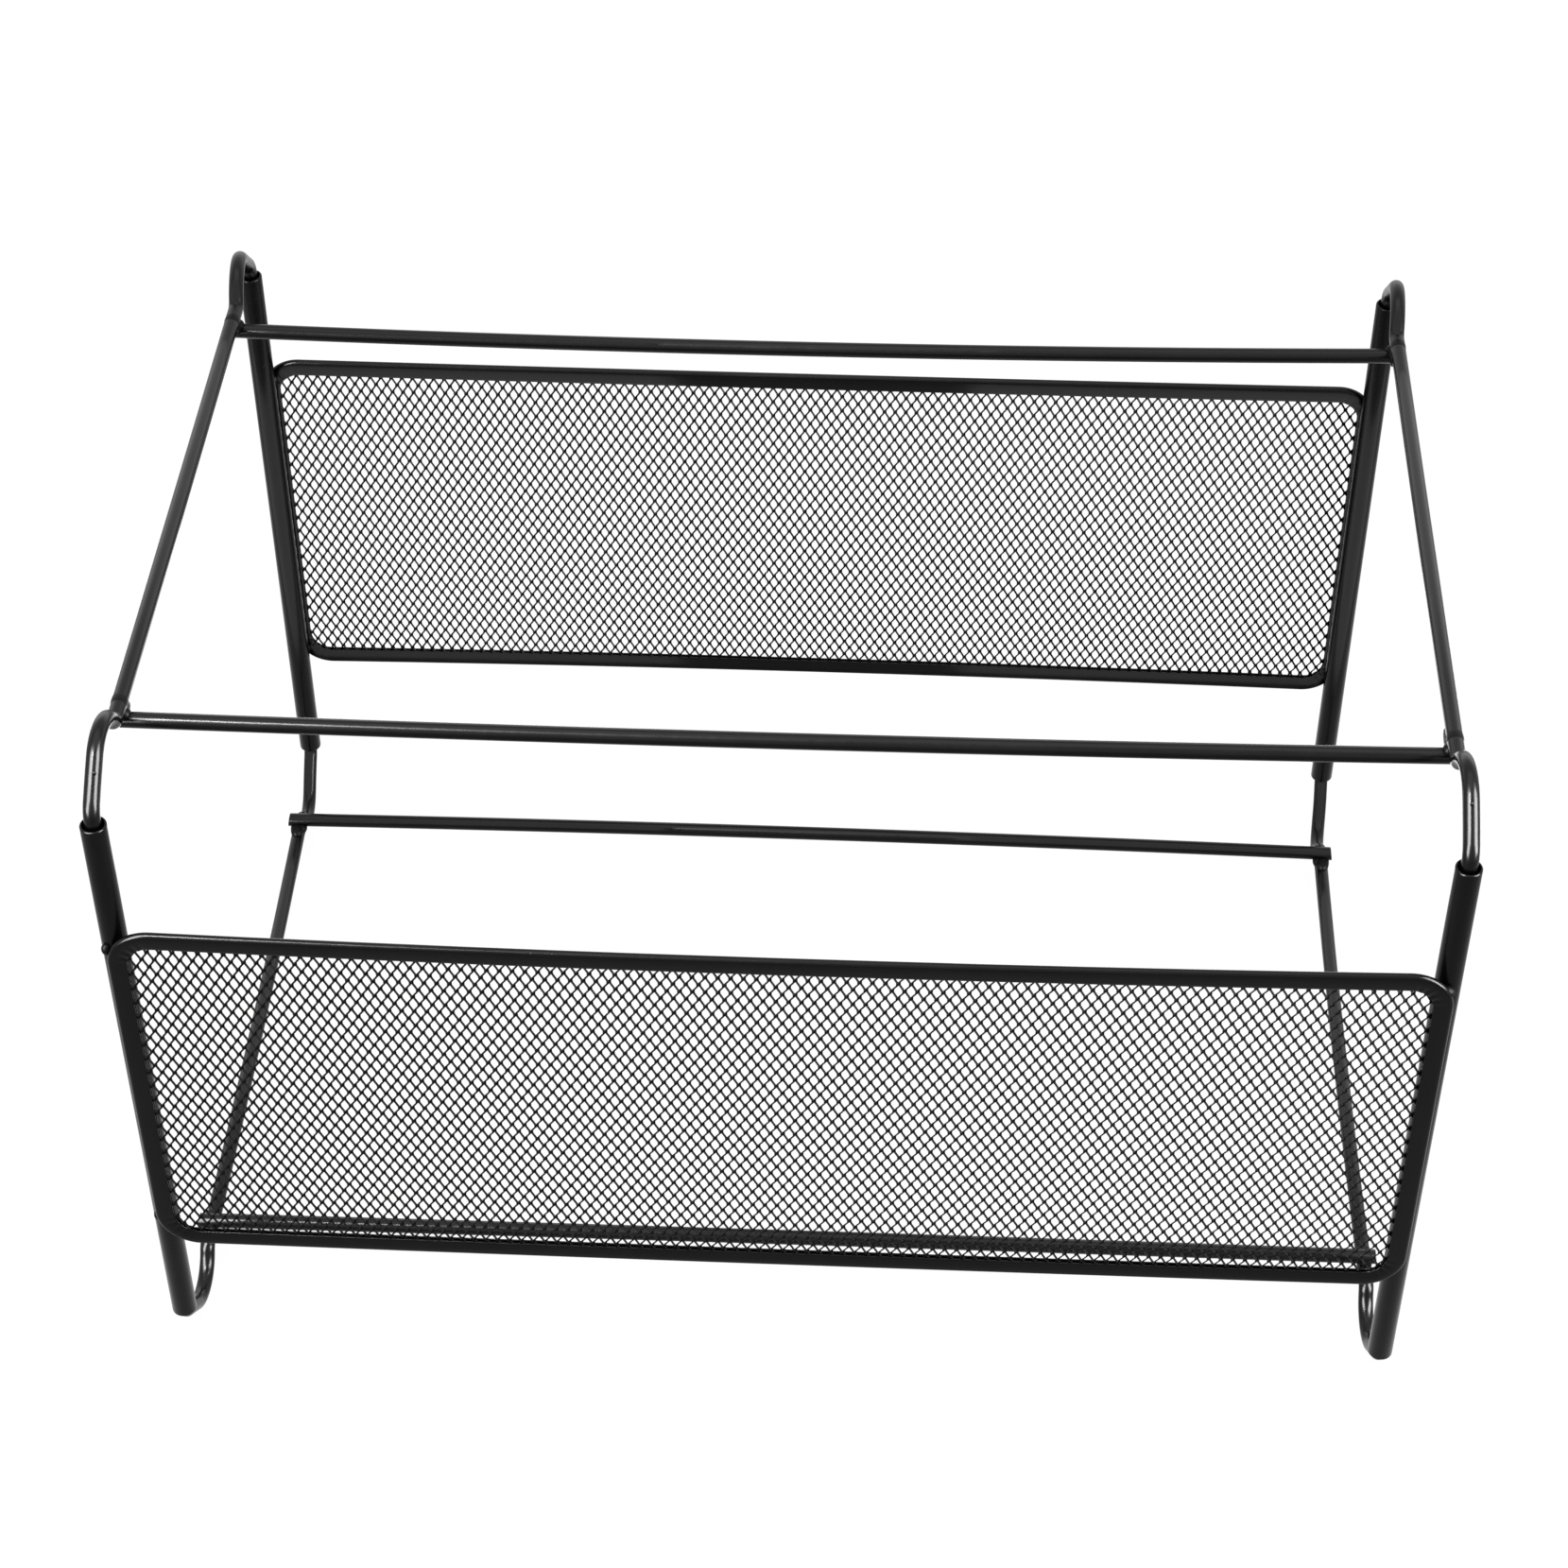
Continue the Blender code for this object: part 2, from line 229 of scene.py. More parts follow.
def enamel(kind, skinGroup):
    values = enamels[kind]
    material = bpy.data.materials.new(kind + "Enamel")
    material.use_nodes = True
    tree = material.node_tree
    surface = tree.nodes["Principled BSDF"]
    surface.inputs["Specular IOR Level"].default_value = values["level"]
    skin = addNode(tree, "ShaderNodeGroup", node_tree=skinGroup)
    shade, dusty = values["paint"], values["dusty"]
    skin.inputs["Paint"].default_value = (shade, shade, shade * skinValues["blueTint"], 1)
    skin.inputs["Dusty Paint"].default_value = (dusty, dusty, dusty, 1)
    for name, key in (
        ("Roughness", "rough"), ("Peel Scale", "scale"), ("Peel", "peel"),
        ("Sag", "sag"), ("Nibs", "nibs"), ("Dust", "dust"),
    ):
        skin.inputs[name].default_value = values[key]
    bump = addNode(tree, "ShaderNodeBump")
    bump.inputs["Strength"].default_value = 1.0
    bump.inputs["Distance"].default_value = values["bump"] * micrometre
    tree.links.new(skin.outputs["Height"], bump.inputs["Height"])
    tree.links.new(skin.outputs["Color"], surface.inputs["Base Color"])
    tree.links.new(skin.outputs["Roughness"], surface.inputs["Roughness"])
    tree.links.new(bump.outputs["Normal"], surface.inputs["Normal"])
    return material


enamelSkin = enamelSkinGroup()
paint = {kind: enamel(kind, enamelSkin) for kind in enamels}
print("enamels made")


# Side wires, one shape for all four: plug leg, neck, climb, crown, fall, ease and rail.
sideWires = dict(
    x=158.0, y=112.0,           # a leg's axis from the middle
    radius=2.0, sides=32,
    leg=29.0, climb=10.43, fall=0.32,
    neck=(6.0, 48, 8),          # radius, angle and steps of a bend
    crown=(10.3, 102, 22),
    ease=(3.2, 60, 10),
    climbParts=3, railParts=8,
    footZ=16.088, humpZ=191.638,    # height at which the necks start
    tiedAt=80.65,               # distance from the middle at which the bars tie the rails
    # how far each rail is drawn in from its legs, more towards the rear, more at mid-length
    draws=dict(bottomLeft=(0.8, 0.0, 0.6), bottomRight=(1.3, 0.5, 0.6),
               topLeft=(1.05, 0.35, 0.1), topRight=(0.8, 0.0, 0.1)),
    nibSize=(0.5, 0.5, 0.8), nibSplits=2,
    nibs=dict(Left=(-157.3, -106.4, 201.8), Right=(157.7, -104.6, 203.6)),
)


def railDraw(wire, y):
    draw, lean, belly = sideWires["draws"][wire]
    share = y / sideWires["tiedAt"]
    return draw + lean * share + belly * max(0, 1 - share * share)


def sideWire(level, side, x, turn):
    # Walked from leg to leg in the YZ plane, legs up, and returned with its rail's place.
    w = sideWires
    bm = bmesh.new()
    place = Vector((0, -w["y"], w["leg"]))
    heading = -90
    bmesh.ops.create_circle(
        bm, cap_ends=False, segments=w["sides"], radius=w["radius"],
        matrix=Matrix.Translation(place))
    ring = bm.edges[:]

    def ahead():
        return Vector((0, math.cos(math.radians(heading)), math.sin(math.radians(heading))))

    def run(length, parts=1):
        nonlocal ring, place
        ring = pushRing(bm, ring, ahead() * length, parts)
        place = place + ahead() * length

    def bend(values, way):
        nonlocal ring, place, heading
        radius, angle, steps = values
        middle = place + Vector((0, -ahead().z, ahead().y)) * way * radius
        ring = spinRing(bm, ring, middle, (1, 0, 0), way * angle, steps)
        heading += way * angle
        place = middle - Vector((0, -ahead().z, ahead().y)) * way * radius

    run(w["leg"])
    bend(w["neck"], 1)
    run(w["climb"], w["climbParts"])
    bend(w["crown"], 1)
    run(w["fall"])
    bend(w["ease"], -1)
    railEnd = place.copy()
    run(-2 * place.y, w["railParts"])
    bend(w["ease"], -1)
    run(w["fall"])
    bend(w["crown"], 1)
    run(w["climb"], w["climbParts"])
    bend(w["neck"], 1)
    run(w["leg"])
    closeEnds(bm)
    # The welded rails pull each wire inwards a little between its legs.
    for vert in bm.verts:
        share = smoothStep((w["y"] - abs(vert.co.y)) / (w["y"] + railEnd.y))
        vert.co.x -= x * share * railDraw(level + side, (turn @ vert.co).y)
    return bm, railEnd


for side, x in sides:
    for level, turn, height in (
        ("bottom", plain, sideWires["footZ"]), ("top", upsideDown, sideWires["humpZ"]),
    ):
        wire, railEnd = sideWire(level, side, x, turn)
        place = Matrix.Translation((x * sideWires["x"], 0, height)) @ turn
        if level == "top":
            # A paint nib on the front slope of each front hump, half sunk.
            spot = Matrix.Translation(sideWires["nibs"][side])
            bmesh.ops.create_icosphere(
                wire, subdivisions=sideWires["nibSplits"], radius=1,
                matrix=place.inverted() @ spot @ Matrix.Diagonal((*sideWires["nibSize"], 1)))
        finishPiece(wire, f"{level}{side}Wire", paint["wire"], f"{level}_frame",
                    [f"{level}_{side.lower()}_wire"], place)
railLow = sideWires["footZ"] + railEnd.z
railHigh = sideWires["humpZ"] - railEnd.z
print("side wires bent, rails at", round(railLow, 2), "and", round(railHigh, 2))


# Cross bars, welded to the sides of the rails that face the other frame.
crossBars = dict(
    radius=2.0, sides=32, parts=24, chamfer=0.25, chamferSteps=3,
    reach=3.75,                 # bar's axis from the rail's
    shear=9.0,                  # lean of the cut ends
    # left and right end, bow upwards, then how far inwards each end lies
    bottomFront=(-160.3, 160.3, 0.45, 0.4, 2.1), bottomRear=(-160.3, 159.3, 1.4, 0.8, 1.6),
    topFront=(-157.5, 157.5, -1.1, 0.8, 2.0), topRear=(-157.5, 157.5, -2.0, 0.85, -1.2),
)


def barDepth(level, end, y, x):
    # Where a bar's axis lies at x. The real bars are a little askew.
    inLeft, inRight = crossBars[level + end][3:]
    inward = inLeft + (inRight - inLeft) * (x / sideWires["x"] + 1) / 2
    return y * (sideWires["tiedAt"] - inward)


def crossBar(level, end, y, z):
    c = crossBars
    left, right, bow = c[level + end][:3]
    half, middle = (right - left) / 2, (right + left) / 2
    bm = bmesh.new()
    bmesh.ops.create_circle(
        bm, cap_ends=False, segments=c["sides"], radius=c["radius"],
        matrix=Matrix.Translation((-half, 0, 0)) @ alongX)
    pushRing(bm, bm.edges[:], Vector((2 * half, 0, 0)), c["parts"])
    lean = math.tan(math.radians(c["shear"]))
    for vert in bm.verts:
        if abs(vert.co.x) > half - touch:
            vert.co.x -= math.copysign(lean * (vert.co.z + c["radius"]), vert.co.x)
        vert.co.z += bow * (1 - (vert.co.x / half) ** 2)
    closeEnds(bm)
    cuts = [e for e in bm.edges if e.calc_face_angle(0) > cutAngle]
    bmesh.ops.bevel(bm, geom=cuts, affect="EDGES", offset=c["chamfer"],
                    segments=c["chamferSteps"], profile=0.5, material=-1)
    for vert in bm.verts:
        vert.co += Vector((middle, barDepth(level, end, y, vert.co.x + middle), z))
    return bm


for end, y in ends:
    for level, z in (
        ("bottom", railLow + crossBars["reach"]), ("top", railHigh - crossBars["reach"]),
    ):
        bar = crossBar(level, end, y, z)
        finishPiece(bar, f"{level}{end}Bar", paint["bar"], f"{level}_frame",
                    [f"{level}_{end.lower()}_bar"])
print("cross bars laid")


# Welds, melted from overlapping balls so that fillets form between bar and rail.
welds = dict(
    ballSplits=4, voxel=0.15, smooth=0.6, rounds=dict(bottom=24, top=12),
    onRail=(2.08, 5.0, 2.08), railBack=1.6,     # paint run along the rail, from the bar's axis
    core=(1.4, 1.7, 1.4), coreIn=dict(bottom=0.0, top=1.5),
    # webs between rail and bar: size, then place inwards and back from the crossing
    webs=dict(
        bottom=(((2.15, 3.8, 1.9), 0.0, 1.9), ((1.2, 2.1, 1.7), 1.6, 1.4),
                ((1.1, 3.2, 1.8), -1.1, 1.2)),
        topLeft=(((0.65, 2.3, 1.4), 1.6, 1.8),),
        topRight=(((0.60, 4.2, 1.4), 1.7, 3.3),)),
)


def meltedShape(balls, rounds):
    # Joins overlapping balls into one skin and lets it settle.
    raw = bmesh.new()
    for place, size in balls:
        spot = Matrix.Translation(place) @ Matrix.Diagonal((*size, 1))
        bmesh.ops.create_icosphere(
            raw, subdivisions=welds["ballSplits"], radius=1, matrix=spot)
    mesh = bpy.data.meshes.new("weldHelper")
    raw.to_mesh(mesh)
    raw.free()
    helper = bpy.data.objects.new("weldHelper", mesh)
    bpy.context.scene.collection.objects.link(helper)
    remesh = helper.modifiers.new("melt", "REMESH")
    remesh.mode = "VOXEL"
    remesh.voxel_size = welds["voxel"]
    settle = helper.modifiers.new("settle", "SMOOTH")
    settle.factor = welds["smooth"]
    settle.iterations = rounds
    melted = bmesh.new()
    melted.from_object(helper, bpy.context.evaluated_depsgraph_get())
    bpy.data.objects.remove(helper)
    bpy.data.meshes.remove(mesh)
    return melted


def addWeld(level, end, side, x, y, rail, toBar):
    d = welds
    barY = barDepth(level, end, y, x * sideWires["x"])
    railX = x * (sideWires["x"] - railDraw(level + side, barY))
    middle = rail + toBar * crossBars["reach"] / 2
    joint = [
        ((railX, barY - y * d["railBack"], rail), d["onRail"]),
        ((railX - x * d["coreIn"][level], barY, middle), d["core"]),
    ]
    webs = d["webs"]["bottom" if level == "bottom" else "top" + side]
    joint += [((railX - x * inward, barY - y * back, middle), size)
              for size, inward, back in webs]
    finishPiece(meltedShape(joint, d["rounds"][level]), f"{level}{end}{side}Weld", paint["weld"],
                f"{level}_frame", [f"{level}_{end}_{side}_weld".lower()])


for end, y in ends:
    for side, x in sides:
        addWeld("bottom", end, side, x, y, railLow, 1)
        addWeld("top", end, side, x, y, railHigh, -1)
print("welds melted")


# Corner tubes with rolled lips.
tubes = dict(
    outer=3.2, bore=2.7, low=14.74, high=191.03, sides=48,
    lip=0.41, edge=0.08, lipSteps=4,    # rounding of each end's outer and inner edge
)


def cornerTube():
    t = tubes
    bm = bmesh.new()
    corners = [bm.verts.new((radius, 0, z)) for radius, z in (
        (t["bore"], t["low"]), (t["outer"], t["low"]),
        (t["outer"], t["high"]), (t["bore"], t["high"]))]
    edges = [bm.edges.new((corners[i], corners[(i + 1) % 4])) for i in range(4)]
    bmesh.ops.spin(bm, geom=corners + edges, cent=(0, 0, 0), axis=(0, 0, 1),
                   angle=2 * math.pi, steps=t["sides"], use_merge=True)
    for radius, offset in ((t["outer"], t["lip"]), (t["bore"], t["edge"])):
        lips = [e for e in bm.edges if e.calc_face_angle(0) > cutAngle
                and all(abs(v.co.xy.length - radius) < touch for v in e.verts)]
        bmesh.ops.bevel(bm, geom=lips, affect="EDGES", offset=offset,
                        segments=t["lipSteps"], profile=0.5, material=-1)
    return bm


for end, y in ends:
    panel = end.lower()
    for side, x in sides:
        place = Matrix.Translation((x * sideWires["x"], y * sideWires["y"], 0))
        finishPiece(cornerTube(), f"{panel}{side}Tube", paint["tube"], f"{panel}_panel",
                    [f"{panel}_{side.lower()}_tube"], place, sharp=50)
print("tubes drawn")


# Rims, a sheet folded round the mesh's edge.
rims = dict(
    width=318.7, height=112.0, corner=11.0,
    band=5.0, fold=0.78,        # band width, and radius of the sheet's middle in the fold
    sheet=0.4, pinch=0.22,      # sheet, and how far the lips close on the mesh
    pinchRate=1.6,              # the pinch takes 1 / pinchRate of a flat's width, from its lip
    bandParts=5, foldSteps=10, cornerSteps=28, longParts=12,
    pleats=22, pleatDepth=0.22,
    pleatInset=1.5,             # the pleats start this far in from the corner's outer edge
    pleatFade=3.0,              # and have their full depth this much further in
    seam=0.005,                 # distance within which the sweep's last ring joins its first
    lipRound=0.12, lipSteps=2, lipAngle=60,
    y=-116.5, z=103.24,
    # rise of the long sides' ends and their dip at mid-length, top then bottom
    rises=dict(front=(1.25, 0.5), rear=(0.1, -1.1)),
    dips=dict(front=(2.05, 0.45), rear=(0.4, -1.5)),
)


def foldedRim(end):
    # The sheet's middle line, swept round the rounded frame. A modifier thickens it.
    r = rims
    bm = bmesh.new()
    flat = r["band"] - r["sheet"] - r["fold"]
    lip = bm.verts.new((0, -r["fold"] + r["pinch"], r["height"] / 2 - r["band"] + r["sheet"] / 2))

    def band(tip, rise, toFold):
        # One flat of the channel, from lip to fold or from fold to lip.
        origin = tip.co.copy()
        for part in range(1, r["bandParts"] + 1):
            share = part / r["bandParts"]
            tip = bmesh.ops.extrude_vert_indiv(bm, verts=[tip])["verts"][0]
            if toFold:
                shut = min(1, share * r["pinchRate"])
            else:
                shut = 1 - min(1, (1 - share) * r["pinchRate"])
            tip.co = origin + Vector((0, -r["pinch"] * shut, rise * share))
        return tip

    tip = band(lip, flat, True)
    spun = bmesh.ops.spin(
        bm, geom=[tip], cent=(0, 0, tip.co.z), axis=(1, 0, 0), angle=-math.pi,
        steps=r["foldSteps"], use_duplicate=False)["geom_last"]
    band(newVerts(spun)[0], -flat, False)
    bmesh.ops.remove_doubles(bm, verts=bm.verts, dist=merge)
    ring = bm.edges[:]
    halfW, halfH = r["width"] / 2 - r["corner"], r["height"] / 2 - r["corner"]
    ring = pushRing(bm, ring, Vector((halfW, 0, 0)), r["longParts"] // 2)
    for lap in range(4):
        turn = Matrix.Rotation(math.pi / 2 * lap, 3, "Y")
        here, there = (halfW, halfH) if lap % 2 == 0 else (halfH, halfW)
        ring = spinRing(bm, ring, turn @ Vector((here, 0, there)), (0, 1, 0), 90, r["cornerSteps"])
        ahead = turn @ Vector((0, 0, -1))
        if lap < 3:
            ring = pushRing(bm, ring, ahead * 2 * there, r["longParts"])
        else:
            pushRing(bm, ring, ahead * there, r["longParts"] // 2)
    bmesh.ops.remove_doubles(bm, verts=bm.verts, dist=r["seam"])
    for vert in bm.verts:
        # The sheet puckers at the inner corners, where it was folded short.
        outX, outZ = abs(vert.co.x) - halfW, abs(vert.co.z) - halfH
        if outX > 0 and outZ > 0:
            fromCentre = math.hypot(outX, outZ)
            inward = smoothStep((r["corner"] - r["pleatInset"] - fromCentre) / r["pleatFade"])
            angle = math.atan2(outZ, outX)
            wave = (0.5 - 0.5 * math.cos(angle * r["pleats"])) * math.sin(angle * 2)
            vert.co.y -= math.copysign(wave * inward * r["pleatDepth"], vert.co.y)
        share = vert.co.z / r["height"] + 0.5
        middle = 1 - (2 * vert.co.x / r["width"]) ** 2
        top, low = (r["rises"][end][k] - r["dips"][end][k] * middle for k in (0, 1))
        vert.co.z += top * share + low * (1 - share)
    return bm


for end, turn in panels:
    place = turn @ Matrix.Translation((0, rims["y"], rims["z"]))
    piece = finishPiece(foldedRim(end), f"{end}Rim", paint["rim"], f"{end}_panel",
                        [f"{end}_rim"], place, sharp=70)
    skin = piece.modifiers.new("sheet", "SOLIDIFY")
    skin.thickness = rims["sheet"] * mm
    skin.offset = 0
    soft = piece.modifiers.new("paintedLip", "BEVEL")
    soft.width = rims["lipRound"] * mm
    soft.segments = rims["lipSteps"]
    soft.limit_method = "ANGLE"
    soft.angle_limit = math.radians(rims["lipAngle"])
print("rims folded")


# Weld dabs where each rim's corners sit on the tubes.
dabs = dict(
    rounds=6,
    # x, y and drop from the rim's edge, then size, for the left and right side
    lumps=dict(
        Left=((-159.5, -115.1, 7.4), (1.2, 1.3, 1.7)),
        Right=((157.0, -115.7, 6.6), (2.3, 1.6, 1.8))),
    lowDepth=0.9,               # how much deeper the lower ones lie
)


def rimDabs(end):
    d = dabs
    bm = bmesh.new()
    mesh = bpy.data.meshes.new("dab")
    for (x, y, drop), size in d["lumps"].values():
        for way, rise in zip((1, -1), rims["rises"][end]):
            height = rims["z"] + way * (rims["height"] / 2 - drop) + rise
            depth = y if way > 0 else y + d["lowDepth"]
            lump = meltedShape([((x, depth, height), size)], d["rounds"])
            lump.to_mesh(mesh)
            lump.free()
            bm.from_mesh(mesh)
    bpy.data.meshes.remove(mesh)
    return bm


for end, turn in panels:
    finishPiece(rimDabs(end), f"{end}RimWelds", paint["weld"], f"{end}_panel", [], turn)
print("rim welds dabbed")


# Expanded mesh: bonds and strands as tilted ribbons that zigzag up the sheet.
nets = dict(
    width=314.0, height=106.8,  # the sheet's edge, hidden in the rim
    column=1.525, row=2.47,     # half of a diamond's width and height
    strand=0.57, gauge=0.34,    # strand width and sheet gauge
    overlap=1.03,               # widens the strands, so that neighbours join at a bond
    tilt=34.0,                  # how far a strand leans out of the sheet
    bond=0.80,                  # height of a bond
    cornerCut=7.6, spareWaves=2, sparePairs=1,
    cutNear=0.0001,             # distance within which a point lies on a cut
)


def expandedNet():
    n = nets
    tilt = math.radians(n["tilt"])
    across = Vector((math.cos(tilt), math.sin(tilt), 0)) * (n["strand"] / 2)
    through = Vector((-math.sin(tilt), math.cos(tilt), 0)) * (n["gauge"] / 2)
    swing = Vector((n["column"] - 2 * across.x, -2 * across.y, 0))
    bond, slope = Vector((0, 0, n["bond"])), Vector((0, 0, n["row"] - n["bond"]))
    bm = bmesh.new()
    corners = [bm.verts.new(across * a * n["overlap"] + through * b)
               for a, b in ((-1, -1), (1, -1), (1, 1), (-1, 1))]
    ring = [bm.edges.new((corners[i], corners[(i + 1) % 4])) for i in range(4)]
    bmesh.ops.translate(bm, vec=Vector((across.x, across.y, -n["bond"] / 2)), verts=bm.verts)
    for step in (bond, slope + swing, bond, slope - swing):
        ring = pushRing(bm, ring, step)

    def repeat(step, count):
        # Copies all of it count times by doubling.
        made = 1
        while made < count:
            more = min(made, count - made)
            faces = bm.faces[:len(bm.faces) // made * more]
            source = (list({v for f in faces for v in f.verts})
                      + list({e for f in faces for e in f.edges}) + faces)
            copied = bmesh.ops.duplicate(bm, geom=source)["geom"]
            bmesh.ops.translate(bm, vec=step * made, verts=newVerts(copied))
            made += more

    waves = math.ceil(n["height"] / (2 * n["row"])) + n["spareWaves"]
    repeat(Vector((0, 0, 2 * n["row"])), waves)
    bmesh.ops.remove_doubles(bm, verts=bm.verts, dist=merge)
    pair = bmesh.ops.duplicate(bm, geom=bm.verts[:] + bm.edges[:] + bm.faces[:])["geom"]
    bmesh.ops.translate(bm, vec=(n["column"], 0, n["row"]), verts=newVerts(pair))
    pairs = math.ceil(n["width"] / (2 * n["column"])) + n["sparePairs"]
    repeat(Vector((2 * n["column"], 0, 0)), pairs)
    bmesh.ops.translate(
        bm, vec=(-pairs * n["column"], 0, -(waves - 0.5) * n["row"]), verts=bm.verts)
    # Trimmed to the sheet, with its corners cut.
    cuts = [((x * n["width"] / 2, 0, 0), (x, 0, 0)) for x in (-1, 1)]
    cuts += [((0, 0, z * n["height"] / 2), (0, 0, z)) for z in (-1, 1)]
    lean = n["cornerCut"] / math.sqrt(2)
    cornerX, cornerZ = rims["width"] / 2 - rims["corner"], rims["height"] / 2 - rims["corner"]
    cuts += [((x * (cornerX + lean), 0, z * (cornerZ + lean)), (x, 0, z))
             for x in (-1, 1) for z in (-1, 1)]
    for place, normal in cuts:
        bmesh.ops.bisect_plane(
            bm, geom=bm.verts[:] + bm.edges[:] + bm.faces[:], plane_co=place,
            plane_no=normal, clear_outer=True, dist=n["cutNear"])
    closeEnds(bm)
    return bm


for end, turn in panels:
    place = turn @ Matrix.Translation((0, rims["y"], rims["z"]))
    piece = finishPiece(expandedNet(), f"{end}Mesh", paint["mesh"], f"{end}_panel",
                        [f"{end}_mesh"], place, flat=True)
    print(end, "mesh expanded:", len(piece.data.polygons), "faces")


# Studio: a white floor that keeps the shadow, and soft boxes placed for the wires' highlights.
studio = dict(
    floorSize=8.0, floorParts=4, floorShade=0.9,
    floorGlow=0.92, glow=1.05,  # share and brightness of the floor's plain white
    ambient=0.4, mirrored=2.0,  # brightness of the room on matte surfaces, and in the paint
    aim=0.1,                    # height that the lamps point at
    lamps=(
        # name, azimuth from the front, elevation, distance, width, height, radiance, gloss only
        ("overhead", 0, 88, 1.6, 1.7, 1.3, 2.6, False),
        ("leftStrip", -44, 30, 1.5, 0.70, 1.40, 75, True),
        ("rightStrip", 66, 26, 1.5, 0.70, 1.30, 75, True),
        ("leftBoom", -31, 54, 1.4, 0.17, 0.18, 340, True),
    ),
    # Cards as bright as what lies behind them keep the strips off the rear wires.
    # Each span is a low edge, a high edge and a brightness.
    cards=dict(near=0.045, far=0.300, y=0.070, spans=((0.0165, 0.13, 3.4), (0.2030, 0.29, 3.4))),
)


def seenDirectly(tree):
    # 1 for camera, glossy and transmission rays.
    path = addNode(tree, "ShaderNodeLightPath")
    first = addNode(tree, "ShaderNodeMath", operation="MAXIMUM")
    second = addNode(tree, "ShaderNodeMath", operation="MAXIMUM")
    tree.links.new(path.outputs["Is Camera Ray"], first.inputs[0])
    tree.links.new(path.outputs["Is Glossy Ray"], first.inputs[1])
    tree.links.new(first.outputs[0], second.inputs[0])
    tree.links.new(path.outputs["Is Transmission Ray"], second.inputs[1])
    return second.outputs[0]


def bareMaterial(name):
    # A material with nothing but its output node.
    material = bpy.data.materials.new(name)
    material.use_nodes = True
    tree = material.node_tree
    tree.nodes.remove(tree.nodes["Principled BSDF"])
    return material, tree


def stagePlane(name, material, parts, place):
    # A square 2 wide, stretched and placed by the matrix.
    bm = bmesh.new()
    bmesh.ops.create_grid(bm, x_segments=parts, y_segments=parts, size=1, matrix=place)
    mesh = bpy.data.meshes.new(name)
    bm.to_mesh(mesh)
    bm.free()
    mesh.materials.append(material)
    plane = bpy.data.objects.new(name, mesh)
    bpy.context.scene.collection.objects.link(plane)
    return plane


def floorMaterial():
    material, tree = bareMaterial("studioFloor")
    matte = addNode(tree, "ShaderNodeBsdfDiffuse")
    matte.inputs["Color"].default_value = (*[studio["floorShade"]] * 3, 1)
    glow = addNode(tree, "ShaderNodeEmission")
    glow.inputs["Strength"].default_value = studio["glow"]
    share = addNode(tree, "ShaderNodeMath", operation="MULTIPLY")
    share.inputs[1].default_value = studio["floorGlow"]
    tree.links.new(seenDirectly(tree), share.inputs[0])
    mix = addNode(tree, "ShaderNodeMixShader")
    tree.links.new(share.outputs[0], mix.inputs["Fac"])
    tree.links.new(matte.outputs[0], mix.inputs[1])
    tree.links.new(glow.outputs[0], mix.inputs[2])
    tree.links.new(mix.outputs[0], tree.nodes["Material Output"].inputs["Surface"])
    return material


def layFloor():
    half = studio["floorSize"] / 2
    size = Matrix.Diagonal((half, half, 1, 1))
    floor = stagePlane("floor", floorMaterial(), studio["floorParts"], size)


def standCards():
    c = studio["cards"]
    for low, high, glow in c["spans"]:
        material, tree = bareMaterial("card")
        light = addNode(tree, "ShaderNodeEmission")
        light.inputs["Strength"].default_value = glow
        tree.links.new(light.outputs[0], tree.nodes["Material Output"].inputs["Surface"])
        size = Matrix.Diagonal(((c["far"] - c["near"]) / 2, (high - low) / 2, 1, 1))
        for side in (-1, 1):
            spot = Matrix.Translation(
                (side * (c["near"] + c["far"]) / 2, c["y"], (low + high) / 2))
            card = stagePlane("card", material, 1, spot @ alongY @ size)
            card.visible_camera = False
            card.visible_diffuse = False


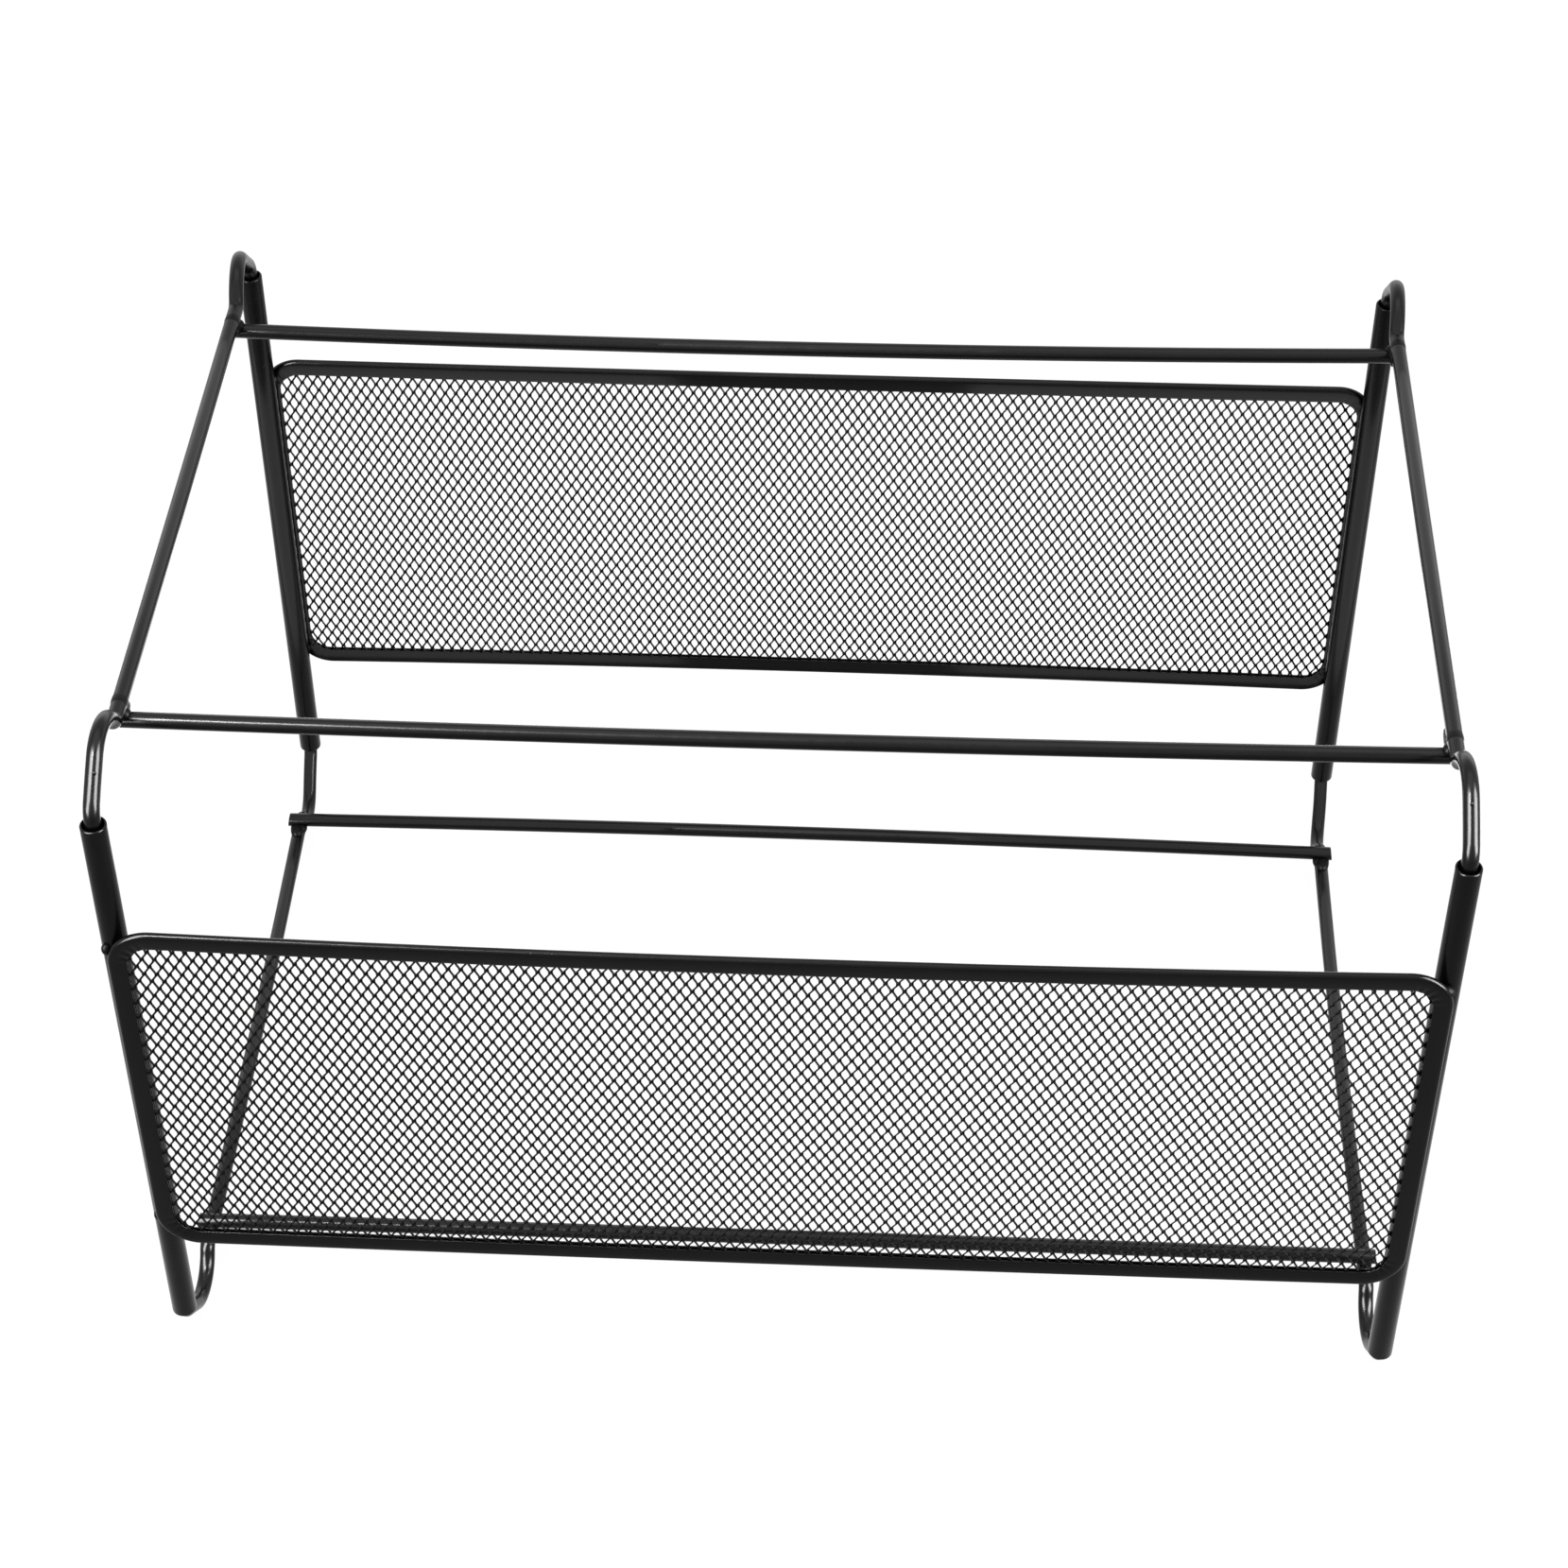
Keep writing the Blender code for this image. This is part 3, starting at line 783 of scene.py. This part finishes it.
def lightWorld():
    world = bpy.data.worlds.new("studioWorld")
    world.use_nodes = True
    tree = world.node_tree
    sky = tree.nodes["Background"]
    sky.inputs["Color"].default_value = (1, 1, 1, 1)
    level = addNode(tree, "ShaderNodeMapRange")
    level.inputs["To Min"].default_value = studio["ambient"]
    level.inputs["To Max"].default_value = studio["mirrored"]
    tree.links.new(seenDirectly(tree), level.inputs["Value"])
    tree.links.new(level.outputs["Result"], sky.inputs["Strength"])
    bpy.context.scene.world = world


def hangLamps():
    middle = Vector((0, 0, studio["aim"]))
    for name, azimuth, elevation, distance, width, height, radiance, glossOnly in studio["lamps"]:
        a, e = math.radians(azimuth), math.radians(elevation)
        way = Vector((math.sin(a) * math.cos(e), -math.cos(a) * math.cos(e), math.sin(e)))
        data = bpy.data.lights.new(name, "AREA")
        data.shape = "RECTANGLE"
        data.size, data.size_y = width, height
        data.energy = radiance * math.pi * width * height
        lamp = bpy.data.objects.new(name, data)
        lamp.matrix_world = (Matrix.Translation(middle + way * distance)
                             @ way.to_track_quat("Z", "Y").to_matrix().to_4x4())
        lamp.visible_camera = False
        lamp.visible_diffuse = not glossOnly
        bpy.context.scene.collection.objects.link(lamp)


# Camera solved from the photograph.
view = dict(
    place=(0.0298, -0.6791, 0.7312), down=42.54, turn=2.82, roll=-0.16,
    lens=78.46, sensor=36, nearest=0.01,    # lens and sensor in millimetres
)


def setCamera():
    data = bpy.data.cameras.new("photoCamera")
    data.sensor_width = view["sensor"]
    data.lens = view["lens"]
    data.clip_start = view["nearest"]
    camera = bpy.data.objects.new("photoCamera", data)
    camera.matrix_world = (
        Matrix.Translation(view["place"])
        @ Matrix.Rotation(math.radians(view["turn"]), 4, "Z")
        @ Matrix.Rotation(math.radians(90 - view["down"]), 4, "X")
        @ Matrix.Rotation(math.radians(view["roll"]), 4, "Z"))
    bpy.context.scene.collection.objects.link(camera)
    bpy.context.scene.camera = camera


layFloor()
standCards()
lightWorld()
hangLamps()
setCamera()
bpy.context.scene.view_settings.view_transform = "Standard"
print("studio set")
